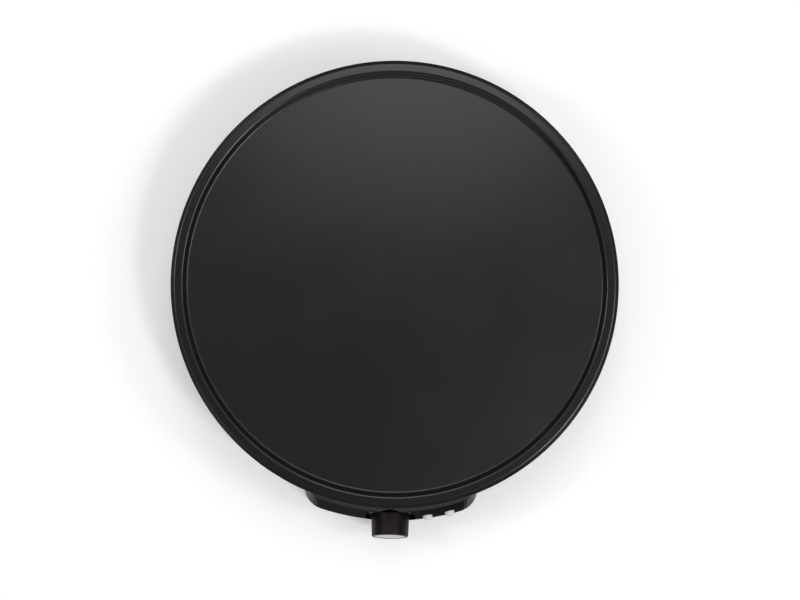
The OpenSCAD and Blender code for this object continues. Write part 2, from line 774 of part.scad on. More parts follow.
module thermostat_bushing() color("#c9a64a") on_seat(knob_at)
    translate([0, 0, body_top]) difference() {
        cylinder(r = bushing_r, h = -body_top - 0.5);
        translate([0, 0, -eps]) cylinder(r = shaft_r + running, h = -body_top + 2);
    }

fixing_len = seat_wall + bracket_t + 1.5;
module thermostat_body() color("#8a4a2a") on_seat(knob_at) difference() {
    translate([-body_w / 2, -body_down, body_bottom])
        cube([body_w, body_up + body_down, body_depth]);
    translate([0, 0, body_top - shaft_hole]) cylinder(r = shaft_r + running, h = shaft_hole + 1);
    for (side = [-1, 1]) translate([side * fixing_pitch / 2, 0, body_top - 3])
        cylinder(r = passed(m4), h = 4);
}

module thermostat_screws() color("#c4c4c0") on_seat(knob_at) for (side = [-1, 1])
    translate([side * fixing_pitch / 2, 0, -fixing_len]) difference() {
        union() {
            cylinder(r = m4[0], h = fixing_len);
            translate([0, 0, fixing_len - m4[2]]) cylinder(r1 = m4[0], r2 = m4[1], h = m4[2]);
        }
        for (a = [0, 90]) rotate([0, 0, a])
            translate([-m4[1] * 0.5, -0.5, fixing_len - 1.2]) cube([m4[1], 1, 2]);
    }

// Two blades on the back for the supply and the element, two on the right for the lamps
module thermostat_tabs() color("#c9a64a") on_seat(knob_at) {
    for (x = tab_at) translate([x - tab_w / 2, tab_up - tab_t / 2, body_bottom - tab_len])
        cube([tab_w, tab_t, tab_len]);
    for (y = side_tab_at) translate([body_w / 2, y - tab_t / 2, body_bottom + side_tab_w])
        cube([side_tab_len, tab_t, side_tab_w]);
}

module thermostat_shaft() color("#c8c8c6") on_seat(knob_at) difference() {
    translate([0, 0, body_top - shaft_hole + 0.5])
        cylinder(r = shaft_r, h = knob_back + knob_socket - body_top + shaft_hole - 1);
    translate([shaft_flat, -shaft_r, knob_back + 1]) cube([shaft_r, 2 * shaft_r, knob_socket]);
}

// ---- Knob ----

// The knob's outer shape, shrunk by inset
module knob_form(inset = 0) rotate_extrude($fn = 96) polygon(rounded([
    [0, knob_back, 0],
    [knob_d / 2 - inset, knob_back, 0.4],
    [knob_tip_d / 2 - inset, knob_front - inset, knob_round],
    [0, knob_front - inset, 0],
]));

module pointer_form() intersection() {
    difference() {
        knob_form();
        knob_form(pointer_depth);
    }
    rotate([0, 0, pointer_angle]) translate([cap_d / 2 + 0.6, -pointer_w / 2, knob_back + 2])
        cube([knob_d, pointer_w, knob_len]);
}

module thermostat_knob() color("#1c1615") on_seat(knob_at) difference() {
    knob_form();
    pointer_form();
    // Hollow inside, round the hub
    translate([0, 0, knob_back - eps]) difference() {
        cylinder(r = knob_tip_d / 2 - knob_wall, h = knob_len - knob_wall - cap_t - cap_recess);
        cylinder(r = knob_hub_r, h = knob_len);
    }
    // Socket for the shaft, with a flat that leaves room for the clip
    translate([0, 0, knob_back - eps]) difference() {
        cylinder(r = shaft_r + running, h = knob_socket);
        translate([shaft_flat + clip_t + 2 * running, -shaft_r - 1, 1 + gap])
            cube([shaft_r, 2 * shaft_r + 2, knob_socket]);
    }
    translate([0, 0, knob_front - cap_t - cap_recess])
        cylinder(r = cap_d / 2 + running, h = cap_t + cap_recess + eps);
}

module knob_cap() color("#c9cacb") on_seat(knob_at)
    translate([0, 0, knob_front - cap_t - cap_recess]) rotate_extrude($fn = 96) polygon(rounded([
        [0, 0, 0], [cap_d / 2, 0, 0], [cap_d / 2, cap_t, 0.3], [0, cap_t, 0],
    ]));

module knob_pointer() color("#e6e6e2") on_seat(knob_at) pointer_form();

module knob_clip() color("#b4b6b7") on_seat(knob_at)
    translate([shaft_flat + running, -1.8, knob_back + 1.5]) cube([clip_t, 3.6, knob_socket - 3]);

// ---- Wiring ----

module terminal_block() color("#e4e0d2") difference() {
    translate([-block[0] / 2, block_y - block[1] / 2, cover_top_z]) cube(block);
    for (i = [-1, 0, 1]) {
        translate([i * block_pitch, block_y - block[1] / 2 - eps, block_hole_z])
            rotate([-90, 0, 0]) cylinder(r = 2.2, h = 5);
        translate([i * block_pitch, block_y, cover_top_z + block[2] - 3]) cylinder(r = 2.2, h = 4);
    }
    for (side = [-1, 1]) translate([side * block_pitch / 2, block_y, cover_top_z - eps]) {
        cylinder(r = passed(m3), h = block[2] + 1);
        translate([0, 0, block[2] - 4]) cylinder(r = m3[1] + 0.2, h = 5);
    }
}

module terminal_screws() color("#c4c4c0") for (side = [-1, 1])
    translate([side * block_pitch / 2, block_y, cover_top_z + block[2] - 4])
        rotate([180, 0, 0]) screw(m3, block[2] - 4 + cover_t - 0.8);

module cord_gland() color("#101011") translate([0, 0, cord_z]) rotate([-90, 0, 0]) difference() {
    rotate_extrude() polygon(rounded([
        [0, gland_in_y - gland_lip_t, 0],
        [gland_hole_r + 1, gland_in_y - gland_lip_t, 1],
        [gland_hole_r + 1, gland_in_y, 0],
        [gland_hole_r - running, gland_in_y, 0],
        [gland_hole_r - running, gland_face_y, 0],
        [gland_flange_r, gland_face_y, 0],
        [gland_flange_r, gland_face_y + gland_flange_t, 1],
        [0, gland_face_y + gland_flange_t, 0],
    ]));
    translate([0, 0, gland_in_y - gland_lip_t - 1])
        cylinder(r = cord_hole_d / 2, h = gland_face_y - gland_in_y + gland_lip_t + gland_flange_t + 2);
}

module cord_clamp() color("#1b1c1e") difference() {
    translate([-clamp_w / 2, clamp_y - clamp_depth / 2, cord_z + gap])
        cube([clamp_w, clamp_depth, clamp_bar_h]);
    translate([0, clamp_y - clamp_depth, cord_z]) rotate([-90, 0, 0])
        cylinder(r = cord_hole_d / 2, h = 2 * clamp_depth);
    for (side = [-1, 1]) translate([side * clamp_pitch / 2, clamp_y, cord_z])
        cylinder(r = passed(m3), h = clamp_bar_h + 2);
}

module cord_clamp_screws() color("#c4c4c0") for (side = [-1, 1])
    translate([side * clamp_pitch / 2, clamp_y, cord_z + gap + clamp_bar_h])
        rotate([180, 0, 0]) screw(m3, clamp_bar_h + 2 * gap + 8);

// Each lead runs straight for a little way where it leaves a terminal, gap short of it
lead_z = cover_top_z + lead_d / 2 + 1;
lead_turn_y = -knob_at[1] + 82;
function straight(p, way, step = 6) = [for (d = [gap, step, 2 * step]) p + d * way];
function backward(p) = [for (i = [len(p) - 1:-1:0]) p[i]];
function block_exit(i) = straight([i * block_pitch, block_y - block[1] / 2 + 4, block_hole_z], [0, -1, 0]);
function pin_exit(side) =
    straight(at_z(element_leg(side), element_leg_z - pin_h), [0, 0, -1], 4);
function tab_exit(i) = [for (d = [gap, 6, 12])
    seat_point(knob_at, [tab_at[i], tab_up, body_bottom - tab_len - d])];
fuse_z = under_z - fuse_r - gap / 2;
function fuse_exit(side) = [for (d = [[gap, 0], [3, 0], [6, 0], [12, 2.5]])
    at_z(fuse_at, fuse_z) + [side * (fuse_len / 2 + d[0]), 0, -d[1]]];
earth_end = at_z(polar(post_reach - earth_tab_len + 2, post_angles[earth_post]), reflector_z - tab_t);

module live_lead() color("#6b4a2c") tube(concat(
    block_exit(-1), [[-26, 40, lead_z], [-32, -20, lead_z], [-26, lead_turn_y + 20, lead_z + 2]],
    backward(tab_exit(0))), lead_d);

module neutral_lead() color("#2f5aa0") tube(concat(
    block_exit(1), [[30, 40, lead_z], [40, -20, lead_z], [26, -80, lead_z + 2]],
    backward(pin_exit(1))), lead_d);

module earth_lead() color("#6f9a3c") tube(concat(
    block_exit(0), [[-4, 64, lead_z + 4], earth_end + [16, 4, -22]],
    backward(straight(earth_end, [0, 0, -1]))), lead_d);

module thermostat_lead() color("#c24a3a") tube(concat(
    tab_exit(1), [[4, lead_turn_y, 28], at_z(fuse_in_at, reflector_z - 14), at_z(fuse_in_at, reflector_z + 4)],
    backward(fuse_exit(1))), lead_d);

module fuse_lead() color("#c24a3a") tube(concat(
    fuse_exit(-1), [at_z(fuse_out_at, reflector_z + 4), at_z(fuse_out_at, reflector_z - 14),
        [-44, -106, reflector_z - 26]],
    backward(pin_exit(-1))), lead_d);

// The capillary joins the sensing bulb to the thermostat
capillary_d = 2;
bulb_end = [bulb_at[0] + bulb_len / 2, bulb_at[1], under_z - bulb_r - gap / 2];
module capillary_tube() color("#b5703c") tube(concat(
    straight(bulb_end, [1, 0, 0]), [at_z(capillary_at, reflector_z + 5),
        at_z(capillary_at, reflector_z - 10), [44, lead_turn_y + 10, 36]],
    [for (d = [18, 10, gap]) seat_point(knob_at, [0, body_up - 4, body_bottom - d])]
), capillary_d);

// The two leads of a lamp run side by side from the lamp to their blade
lamp_lead_d = 1.4;
lamp_lead_way = [-0.66, 0.88];
module lamp_leads() color("#d8d4c8")
    for (i = [0, 1], side = [-1, 1]) let (way = side * lamp_lead_way) tube(concat(
        [for (d = [gap, 4, 8])
            seat_point(lamps_at[i], [way[0], way[1], neon_top - neon_len - d])],
        [for (d = [8, 4, gap]) seat_point(knob_at, [body_w / 2 + side_tab_len / 2 + way[0],
            side_tab_at[1 - i] + way[1], body_bottom + side_tab_w - d])]
    ), lamp_lead_d, 8, 3);

// ---- Which nodes are drawn ----

translate([0, shift_y, 0]) {
    cooking_plate();
    heating_element();
    element_seals();
    element_pins();
    element_clamps();
    clamp_screws();
    plate_washers();
    plate_screws();
    heat_reflector();
    reflector_screws();
    earth_tab();
    thermal_fuse();
    fuse_clamp();
    sensing_bulb();
    bulb_clamp();
    capillary_tube();
    base_housing();
    bottom_cover();
    rubber_feet();
    foot_screws();
    front_panel();
    panel_screws();
    power_lens();
    heating_lens();
    power_lamp();
    heating_lamp();
    lens_retainers();
    thermostat_body();
    thermostat_bracket();
    thermostat_bushing();
    thermostat_screws();
    thermostat_tabs();
    thermostat_shaft();
    thermostat_knob();
    knob_cap();
    knob_pointer();
    knob_clip();
    terminal_block();
    terminal_screws();
    cord_gland();
    cord_clamp();
    cord_clamp_screws();
    live_lead();
    neutral_lead();
    earth_lead();
    thermostat_lead();
    fuse_lead();
    lamp_leads();
}
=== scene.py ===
"""Looks of the electric crepe maker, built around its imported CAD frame.

Metres, +Z up, and the control panel faces -Y. The plate's sizes, the widths of broken edges and
the depths of grain are in millimetres, and they are multiplied by MM where they are used.
"""

import json
import math

import bpy
from mathutils import Matrix, Vector

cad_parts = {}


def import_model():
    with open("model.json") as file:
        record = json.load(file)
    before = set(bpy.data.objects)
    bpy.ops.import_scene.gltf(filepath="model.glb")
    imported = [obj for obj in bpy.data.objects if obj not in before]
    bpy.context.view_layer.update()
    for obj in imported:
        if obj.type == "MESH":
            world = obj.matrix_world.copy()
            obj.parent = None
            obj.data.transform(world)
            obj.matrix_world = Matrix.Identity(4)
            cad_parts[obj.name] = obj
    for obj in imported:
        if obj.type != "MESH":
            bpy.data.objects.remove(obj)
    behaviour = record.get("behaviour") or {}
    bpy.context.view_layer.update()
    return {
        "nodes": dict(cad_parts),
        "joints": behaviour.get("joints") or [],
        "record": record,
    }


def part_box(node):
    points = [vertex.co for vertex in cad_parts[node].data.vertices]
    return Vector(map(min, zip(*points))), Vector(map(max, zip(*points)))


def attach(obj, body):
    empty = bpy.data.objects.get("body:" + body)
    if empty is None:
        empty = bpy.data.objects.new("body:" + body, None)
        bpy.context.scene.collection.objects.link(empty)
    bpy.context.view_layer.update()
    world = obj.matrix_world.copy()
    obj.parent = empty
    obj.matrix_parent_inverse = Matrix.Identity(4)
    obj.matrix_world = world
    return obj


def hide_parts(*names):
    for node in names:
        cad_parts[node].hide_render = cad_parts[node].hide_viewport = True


MM = 0.001
UP = (0, 0, 1)

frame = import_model()
nodes = frame["nodes"]
record = frame["record"]
slot_of = {row["node"]: row["material_slot"] for row in record["subparts"]}
mount = {row["name"]: row for row in record["mounts"]}
knob_joint = frame["joints"][0]

# ---- Places and sizes ----

cooking_point = Vector(mount["cooking_surface"]["pos_m"])
axis_point = Vector((cooking_point.x, cooking_point.y, 0))
plate_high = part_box("cooking_plate")[1]
KNOB_POINT = tuple(knob_joint["pos_m"])
KNOB_AXIS = tuple(knob_joint["axis"])

# The cooking plate, in millimetres. A round is the radius of a corner of its section.
PLATE_R = (plate_high.x - cooking_point.x) / MM
SURFACE_Z = cooking_point.z / MM
PLATE_T = 5.5
UNDER_Z = SURFACE_Z - PLATE_T
UNDER_ROUND = 2
RIM_Z = plate_high.z / MM
RIM_W = 10
RIM_SLOPE_W = 3.4
RIM_R = PLATE_R - RIM_W
FACE_R = RIM_R - RIM_SLOPE_W
FOOT_ROUND = 3
CREST_ROUND = 3
OUTER_SLOPE_W = 3.4
OUTER_SLOPE_H = 1.4
OUTER_SLOPE_ROUND = 3
OUTER_ROUND = 0.7
EDGE_H = 14
EDGE_Z = RIM_Z - EDGE_H
EDGE_T = 5
EDGE_DRAFT = 1
EDGE_ROUND = 1
PLATE_SIDES = 360

# The bosses on its underside
WASHER_TOP_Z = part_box("plate_washers")[1].z / MM
BOSS_R = 6
BOSS_ROUND = 0.4
BOSS_SINK = 0.5
BOSS_INSET = 22
BOSS_REACH = PLATE_R - BOSS_INSET
BOSS_ANGLES = range(0, 360, 60)
BOSS_SIDES = 48

# ---- Mesh helpers ----


def corner(before, at, after, radius, steps):
    """Points of a round corner between two straight sides."""
    u, w = (before - at).normalized(), (after - at).normalized()
    half = math.acos(max(-1, min(1, u.dot(w)))) / 2
    centre = at + (u + w).normalized() * radius / math.sin(half)
    first = at + u * radius / math.tan(half) - centre
    last = at + w * radius / math.tan(half) - centre
    start = math.atan2(first.y, first.x)
    sweep = (math.atan2(last.y, last.x) - start + math.pi) % (2 * math.pi) - math.pi
    angles = [start + sweep * i / steps for i in range(steps + 1)]
    return [centre + radius * Vector((math.cos(a), math.sin(a))) for a in angles]


def rounded(points, steps):
    """An outline from (x, y, corner radius) points, with each corner made round in steps."""
    flat = [Vector((x, y)) for x, y, radius in points]
    out = []
    for i, at in enumerate(flat):
        before, after, radius = flat[i - 1], flat[(i + 1) % len(flat)], points[i][2]
        out += corner(before, at, after, radius, steps) if radius else [at]
    return out


def new_piece(name, verts, faces):
    """A smooth-shaded piece from vertices in metres."""
    mesh = bpy.data.meshes.new(name)
    mesh.from_pydata(verts, [], faces)
    mesh.update()
    mesh.shade_smooth()
    piece = bpy.data.objects.new(name, mesh)
    bpy.context.scene.collection.objects.link(piece)
    return piece


def turned(profile, centre, count):
    """Vertices and faces of an outline in millimetres, turned about a vertical axis."""
    verts, faces, rings = [], [], []
    for r, z in profile:
        on_axis = r < 1e-6
        rings.append((len(verts), on_axis))
        if on_axis:
            verts.append(centre + Vector((0, 0, z * MM)))
            continue
        for i in range(count):
            a = 2 * math.pi * i / count
            verts.append(centre + Vector((r * math.cos(a), r * math.sin(a), z)) * MM)
    for (first, first_on_axis), (second, second_on_axis) in zip(rings, rings[1:]):
        for i in range(count):
            j = (i + 1) % count
            if first_on_axis:
                faces.append((first, second + j, second + i))
            elif second_on_axis:
                faces.append((first + i, first + j, second))
            else:
                faces.append((first + i, first + j, second + j, second + i))
    return verts, faces


def joined(parts):
    """One list of vertices and faces from several."""
    verts, faces = [], []
    for v, f in parts:
        base = len(verts)
        verts += v
        faces += [tuple(base + i for i in face) for face in f]
    return verts, faces


def weighted_normals(piece):
    """Keeps flat sides flat next to narrow rounds."""
    modifier = piece.modifiers.new("normals", "WEIGHTED_NORMAL")
    modifier.keep_sharp = True
    modifier.weight = 100


def soften(node, width):
    """Breaks the sharp edges of a CAD node without touching its mesh."""
    piece = nodes[node]
    weld = piece.modifiers.new("weld", "WELD")
    weld.merge_threshold = WELD_REACH * MM
    bevel = piece.modifiers.new("edges", "BEVEL")
    bevel.width = width * MM
    bevel.segments = 2
    bevel.limit_method = "ANGLE"
    bevel.angle_limit = math.radians(SHARP_ANGLE)
    bevel.use_clamp_overlap = True
    bevel.harden_normals = True
    weighted_normals(piece)


# ---- Material helpers ----

STEEL = (0.55, 0.55, 0.54)

# Every moulding: blotches in cells a metre, and how far colour and gloss go down and up
BLOTCH = 25
LESS, MORE = 0.88, 1.12

# The plate's coating: its speckles and patches are in cells a metre, and the rim has all of its
# speckle, the face only a share
COATING_DARK = (0.003, 0.003, 0.003)
COATING_LIGHT = (0.0105, 0.0107, 0.0107)
SPECKLE = 900
PATCH = 14
FACE_SPECKLE = 0.04
FACE_ROUGH = 0.23, 0.31
RIM_SMOOTHER = 0.05

# The knob's disc, the lines of sheet metal, and how deep light goes into a lens in millimetres
DISC_METAL = (0.42, 0.43, 0.435)
DISC_ROUGH = 0.3
LATHE_RINGS = 2600
LINE_SHAPE = (1, 30, 30)
LENS_DEPTH = 2


class Tree:
    """A material's node tree. put() adds a node, and wires or sets what it is given."""

    def __init__(self, name):
        self.material = bpy.data.materials.new(name)
        self.material.use_nodes = True
        self.nodes = self.material.node_tree.nodes
        self.links = self.material.node_tree.links
        self.shader = self.nodes["Principled BSDF"]
        self.place = self.nodes.new("ShaderNodeTexCoord").outputs["Object"]

    def wire(self, value, socket):
        """Links an output to an input, or sets the input to a constant."""
        if isinstance(value, bpy.types.NodeSocket):
            self.links.new(value, socket)
        else:
            socket.default_value = value

    def put(self, kind, inputs=None, **settings):
        node = self.nodes.new("ShaderNode" + kind)
        for key, value in settings.items():
            setattr(node, key, value)
        for key, value in (inputs or {}).items():
            self.wire(value, node.inputs[key])
        return node

    def noise(self, scale, detail=2.0, roughness=0.5):
        """A cloud of grey from 0 to 1, with scale in cells a metre."""
        sockets = {"Vector": self.place, "Scale": scale, "Detail": detail, "Roughness": roughness}
        return self.put("TexNoise", sockets).outputs["Fac"]

    def spread(self, value, low, high, start=0.3, end=0.7):
        """A value from start to end, mapped to low to high."""
        sockets = {"Value": value, "From Min": start, "From Max": end, "To Min": low, "To Max": high}
        return self.put("MapRange", sockets).outputs["Result"]

    def tint(self, factor, dark, light):
        """A colour between two, by a factor from 0 to 1."""
        node = self.put("Mix", data_type="RGBA")
        colours = [s for s in node.inputs if s.type == "RGBA"]
        self.wire(factor, node.inputs["Factor"])
        self.wire((*dark, 1), colours[0])
        self.wire((*light, 1), colours[1])
        return [s for s in node.outputs if s.type == "RGBA"][0]

    def bump(self, height, strength, depth):
        """Grain from a grey height, with its full depth in millimetres."""
        sockets = {"Height": height, "Strength": strength, "Distance": depth * MM}
        self.wire(self.put("Bump", sockets).outputs["Normal"], self.shader.inputs["Normal"])

    def around(self, point, direction):
        """The distance from a line through a point, in metres."""
        away = self.put("VectorMath", {0: self.place, 1: point}, operation="SUBTRACT")
        across = self.put("VectorMath", {0: away.outputs[0], 1: direction}, operation="CROSS_PRODUCT")
        length = self.put("VectorMath", {0: across.outputs[0]}, operation="LENGTH")
        return length.outputs["Value"]

    def set(self, **values):
        """Sets or wires the shader's inputs, such as base_color for Base Color."""
        for key, value in values.items():
            self.wire(value, self.shader.inputs[key.replace("_", " ").title().replace("Ior", "IOR")])


def scaled(colour, factor):
    """A colour made darker or lighter, up to white."""
    return tuple(min(1, c * factor) for c in colour)


def moulding(slot, colour, rough, grain, depth, metal=0.0, ior=1.45):
    """A moulded, cast or plated surface: fine grain, slight blotches and uneven gloss."""
    tree = Tree(slot)
    fine = tree.noise(grain, 3)
    broad = tree.noise(BLOTCH, 2)
    mixed = tree.put("Math", {0: fine, 1: broad}, operation="ADD").outputs[0]
    shade = tree.spread(mixed, 0, 1, 0.7, 1.3)
    tree.set(
        base_color=tree.tint(shade, scaled(colour, LESS), scaled(colour, MORE)),
        roughness=tree.spread(broad, rough * LESS, rough * MORE),
        metallic=metal,
        ior=ior,
    )
    tree.bump(fine, 0.5, depth)
    return tree.material


def turned_metal():
    """The knob's metal disc, with fine rings from a lathe about the knob's axis."""
    tree = Tree("cap_metal")
    radius = tree.around(KNOB_POINT, KNOB_AXIS)
    sockets = {"W": radius, "Scale": LATHE_RINGS, "Detail": 2.0}
    ring = tree.put("TexNoise", sockets, noise_dimensions="1D").outputs["Fac"]
    tree.set(
        base_color=tree.tint(ring, scaled(DISC_METAL, 0.88), scaled(DISC_METAL, 1.08)),
        roughness=tree.spread(ring, DISC_ROUGH * 0.8, DISC_ROUGH * 1.3),
        metallic=1.0,
    )
    tree.bump(ring, 0.35, 0.01)
    return tree.material


def drawn(slot, colour, rough):
    """Rolled or drawn metal, with fine lines along X."""
    tree = Tree(slot)
    tree.place = tree.put("Mapping", {"Vector": tree.place, "Scale": LINE_SHAPE}).outputs["Vector"]
    line = tree.noise(120, 3)
    tree.set(
        base_color=tree.tint(line, scaled(colour, 0.85), scaled(colour, 1.1)),
        roughness=tree.spread(line, rough * 0.8, rough * 1.25),
        metallic=1.0,
    )
    tree.bump(line, 0.3, 0.01)
    return tree.material


def coating():
    """Black non-stick coating: satin, smooth where food lies and grainier on the rim."""
    tree = Tree("plate_coating")
    radius = tree.around(tuple(axis_point), UP)
    on_rim = tree.spread(radius, 0, 1, FACE_R * MM, RIM_R * MM)
    speckle = tree.noise(SPECKLE, 4, 0.7)
    amount = tree.spread(on_rim, FACE_SPECKLE, 1.0, 0, 1)
    centred = tree.put("Math", {0: speckle, 1: 0.5}, operation="SUBTRACT").outputs[0]
    shade = tree.put("Math", {0: centred, 1: amount, 2: 0.5}, operation="MULTIPLY_ADD").outputs[0]
    satin = tree.spread(tree.noise(PATCH, 2), *FACE_ROUGH, 0, 1)
    rough = {0: on_rim, 1: -RIM_SMOOTHER, 2: satin}
    tree.set(
        base_color=tree.tint(shade, COATING_DARK, COATING_LIGHT),
        roughness=tree.put("Math", rough, operation="MULTIPLY_ADD").outputs[0],
        ior=1.42,
    )
    height = tree.put("Math", {0: speckle, 1: amount}, operation="MULTIPLY").outputs[0]
    tree.bump(height, 0.35, 0.03)
    return tree.material


def lens_plastic():
    """Frosted plastic that lets light through."""
    tree = Tree("lens_frosted")
    fine = tree.noise(2500, 2)
    tree.set(
        base_color=tree.tint(fine, (0.86, 0.86, 0.85), (0.95, 0.95, 0.94)),
        roughness=tree.spread(fine, 0.3, 0.42),
        transmission_weight=0.25,
        subsurface_weight=0.3,
        ior=1.49,
    )
    tree.shader.inputs["Subsurface Radius"].default_value = [LENS_DEPTH * MM] * 3
    tree.bump(fine, 0.3, 0.01)
    return tree.material


def lamp_glass():
    """Clear glass, tinted as by the gas of a neon lamp."""
    tree = Tree("neon_glass")
    fine = tree.noise(400, 2)
    tree.set(
        base_color=tree.tint(fine, (0.80, 0.45, 0.28), (0.92, 0.62, 0.42)),
        roughness=tree.spread(fine, 0.05, 0.12),
        transmission_weight=0.7,
        ior=1.5,
    )
    return tree.material


def striped_lead():
    """Green insulation with yellow stripes."""
    tree = Tree("lead_green")
    sockets = {"Vector": tree.place, "Scale": 60.0, "Distortion": 2.0}
    stripe = tree.put("TexWave", sockets, bands_direction="X").outputs["Fac"]
    yellow = tree.spread(stripe, 0, 1, 0.66, 0.7)
    tree.set(
        base_color=tree.tint(yellow, (0.06, 0.26, 0.05), (0.62, 0.5, 0.05)),
        roughness=tree.spread(tree.noise(500), 0.42, 0.55),
    )
    return tree.material


# Colour, roughness, grain in cells a metre, depth of the grain, metallic and IOR
MOULDED = {
    "element_steel": ((0.30, 0.29, 0.28), 0.45, 500, 0.02, 1.0),
    "ceramic_seal": ((0.80, 0.76, 0.68), 0.7, 1800, 0.03),
    "screw_steel": (STEEL, 0.3, 1500, 0.01, 1.0),
    "heat_break": ((0.60, 0.52, 0.32), 0.6, 700, 0.03),
    "brass_parts": ((0.72, 0.52, 0.22), 0.3, 700, 0.01, 1.0),
    "copper_parts": ((0.72, 0.36, 0.20), 0.32, 700, 0.01, 1.0),
    "fuse_case": ((0.62, 0.60, 0.52), 0.32, 900, 0.01, 1.0),
    "housing_plastic": ((0.017, 0.0172, 0.018), 0.42, 1300, 0.035),
    "cover_plastic": ((0.022, 0.0222, 0.023), 0.5, 1100, 0.05),
    "foot_rubber": ((0.014, 0.014, 0.0145), 0.75, 1500, 0.05),
    "panel_gloss": ((0.005, 0.005, 0.0053), 0.12, 120, 0.004),
    "thermostat_phenolic": ((0.12, 0.045, 0.025), 0.4, 500, 0.02),
    "knob_plastic": ((0.0065, 0.0038, 0.003), 0.45, 1100, 0.02, 0.0, 1.25),
    "pointer_white": ((0.82, 0.82, 0.80), 0.45, 900, 0.01),
    "block_plastic": ((0.76, 0.73, 0.62), 0.45, 700, 0.02),
    "lead_brown": ((0.13, 0.055, 0.025), 0.45, 500, 0.02),
    "lead_blue": ((0.03, 0.10, 0.34), 0.45, 500, 0.02),
    "lead_red": ((0.45, 0.05, 0.035), 0.45, 500, 0.02),
    "lead_white": ((0.72, 0.70, 0.64), 0.45, 500, 0.02),
}
materials = {slot: moulding(slot, *look) for slot, look in MOULDED.items()}
materials["sheet_steel"] = drawn("sheet_steel", STEEL, 0.34)
materials["reflector_sheet"] = drawn("reflector_sheet", (0.78, 0.79, 0.80), 0.28)
materials["plate_coating"] = coating()
materials["cap_metal"] = turned_metal()
materials["lens_frosted"] = lens_plastic()
materials["neon_glass"] = lamp_glass()
materials["lead_green"] = striped_lead()


def dress(piece, slot):
    """Gives a piece the material of one of the record's slots."""
    piece.data.materials.clear()
    piece.data.materials.append(materials[slot])


# ---- Cooking plate ----


def cooking_plate():
    """The plate with its rim, edge and the bosses that its screws hold in."""
    section = [
        (0, UNDER_Z, 0),
        (PLATE_R - EDGE_T - EDGE_DRAFT, UNDER_Z, UNDER_ROUND),
        (PLATE_R - EDGE_T, EDGE_Z, EDGE_ROUND),
        (PLATE_R, EDGE_Z, EDGE_ROUND),
        (PLATE_R, RIM_Z - OUTER_SLOPE_H, OUTER_ROUND),
        (PLATE_R - OUTER_SLOPE_W, RIM_Z, OUTER_SLOPE_ROUND),
        (RIM_R, RIM_Z, CREST_ROUND),
        (FACE_R, SURFACE_Z, FOOT_ROUND),
        (0, SURFACE_Z, 0),
    ]
    boss_top = UNDER_Z + BOSS_SINK
    boss = [
        (0, WASHER_TOP_Z, 0),
        (BOSS_R, WASHER_TOP_Z, BOSS_ROUND),
        (BOSS_R, boss_top, 0),
        (0, boss_top, 0),
    ]
    parts = [turned(rounded(section, 10), axis_point, PLATE_SIDES)]
    for angle in BOSS_ANGLES:
        a = math.radians(angle)
        centre = axis_point + Vector((math.cos(a), math.sin(a), 0)) * BOSS_REACH * MM
        parts.append(turned(rounded(boss, 4), centre, BOSS_SIDES))
    piece = new_piece("plate", *joined(parts))
    weighted_normals(piece)
    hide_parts("cooking_plate")
    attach(piece, "base")
    dress(piece, "plate_coating")


cooking_plate()

# ---- The CAD nodes that show as they are ----

for name, piece in nodes.items():
    if name != "cooking_plate":
        dress(piece, slot_of[name])

# Corners sharper than this, in degrees, are broken. The reach and the widths are in millimetres.
SHARP_ANGLE = 35
WELD_REACH = 0.004
EDGE_WIDTHS = {
    "base_housing": 0.5,
    "bottom_cover": 0.4,
    "front_panel": 0.5,
    "rubber_feet": 0.6,
    "cord_gland": 0.3,
    "cord_clamp": 0.4,
    "foot_screws": 0.2,
    "panel_screws": 0.2,
    "plate_screws": 0.2,
    "terminal_block": 0.3,
    "thermostat_body": 0.3,
    "thermostat_knob": 0.2,
    "knob_cap": 0.15,
    "power_lens": 0.2,
    "heating_lens": 0.2,
}
for name, width in EDGE_WIDTHS.items():
    soften(name, width)

# ---- Floor and world ----

FLOOR_SIZE = 16.0
FLOOR_DARK = (0.87, 0.86, 0.863)
FLOOR_LIGHT = (0.885, 0.875, 0.878)
FLOOR_GLOW = (1, 0.99, 0.992, 1)
NEAR_GLOW = 0.2
WORLD_LIGHT = 0.5

# Between these distances from the plate's axis the floor's glow rises to full white
FLOOR_NEAR, FLOOR_FAR = 0.5, 1.6


def shows_white(tree_nodes, links):
    """1 for rays that should see a white ground: from the camera, a mirror or a clear piece."""
    path = tree_nodes.new("ShaderNodeLightPath")
    total = path.outputs["Is Camera Ray"]
    for name in ("Is Glossy Ray", "Is Transmission Ray"):
        node = tree_nodes.new("ShaderNodeMath")
        node.operation = "MAXIMUM"
        links.new(total, node.inputs[0])
        links.new(path.outputs[name], node.inputs[1])
        total = node.outputs[0]
    return total


def floor():
    """Pale paper that keeps the object's shadow and shows white further out."""
    half = FLOOR_SIZE / 2
    corners = [(-half, -half, 0), (half, -half, 0), (half, half, 0), (-half, half, 0)]
    piece = new_piece("floor", corners, [(0, 1, 2, 3)])
    tree = Tree("floor_paper")
    fine = tree.noise(300, 2)
    seen = shows_white(tree.nodes, tree.links)
    white = tree.spread(tree.around(tuple(axis_point), UP), NEAR_GLOW, 1.0, FLOOR_NEAR, FLOOR_FAR)
    tree.set(
        base_color=tree.tint(fine, FLOOR_DARK, FLOOR_LIGHT),
        roughness=0.9,
        emission_color=FLOOR_GLOW,
        emission_strength=tree.put("Math", {0: seen, 1: white}, operation="MULTIPLY").outputs[0],
    )
    piece.data.materials.append(tree.material)


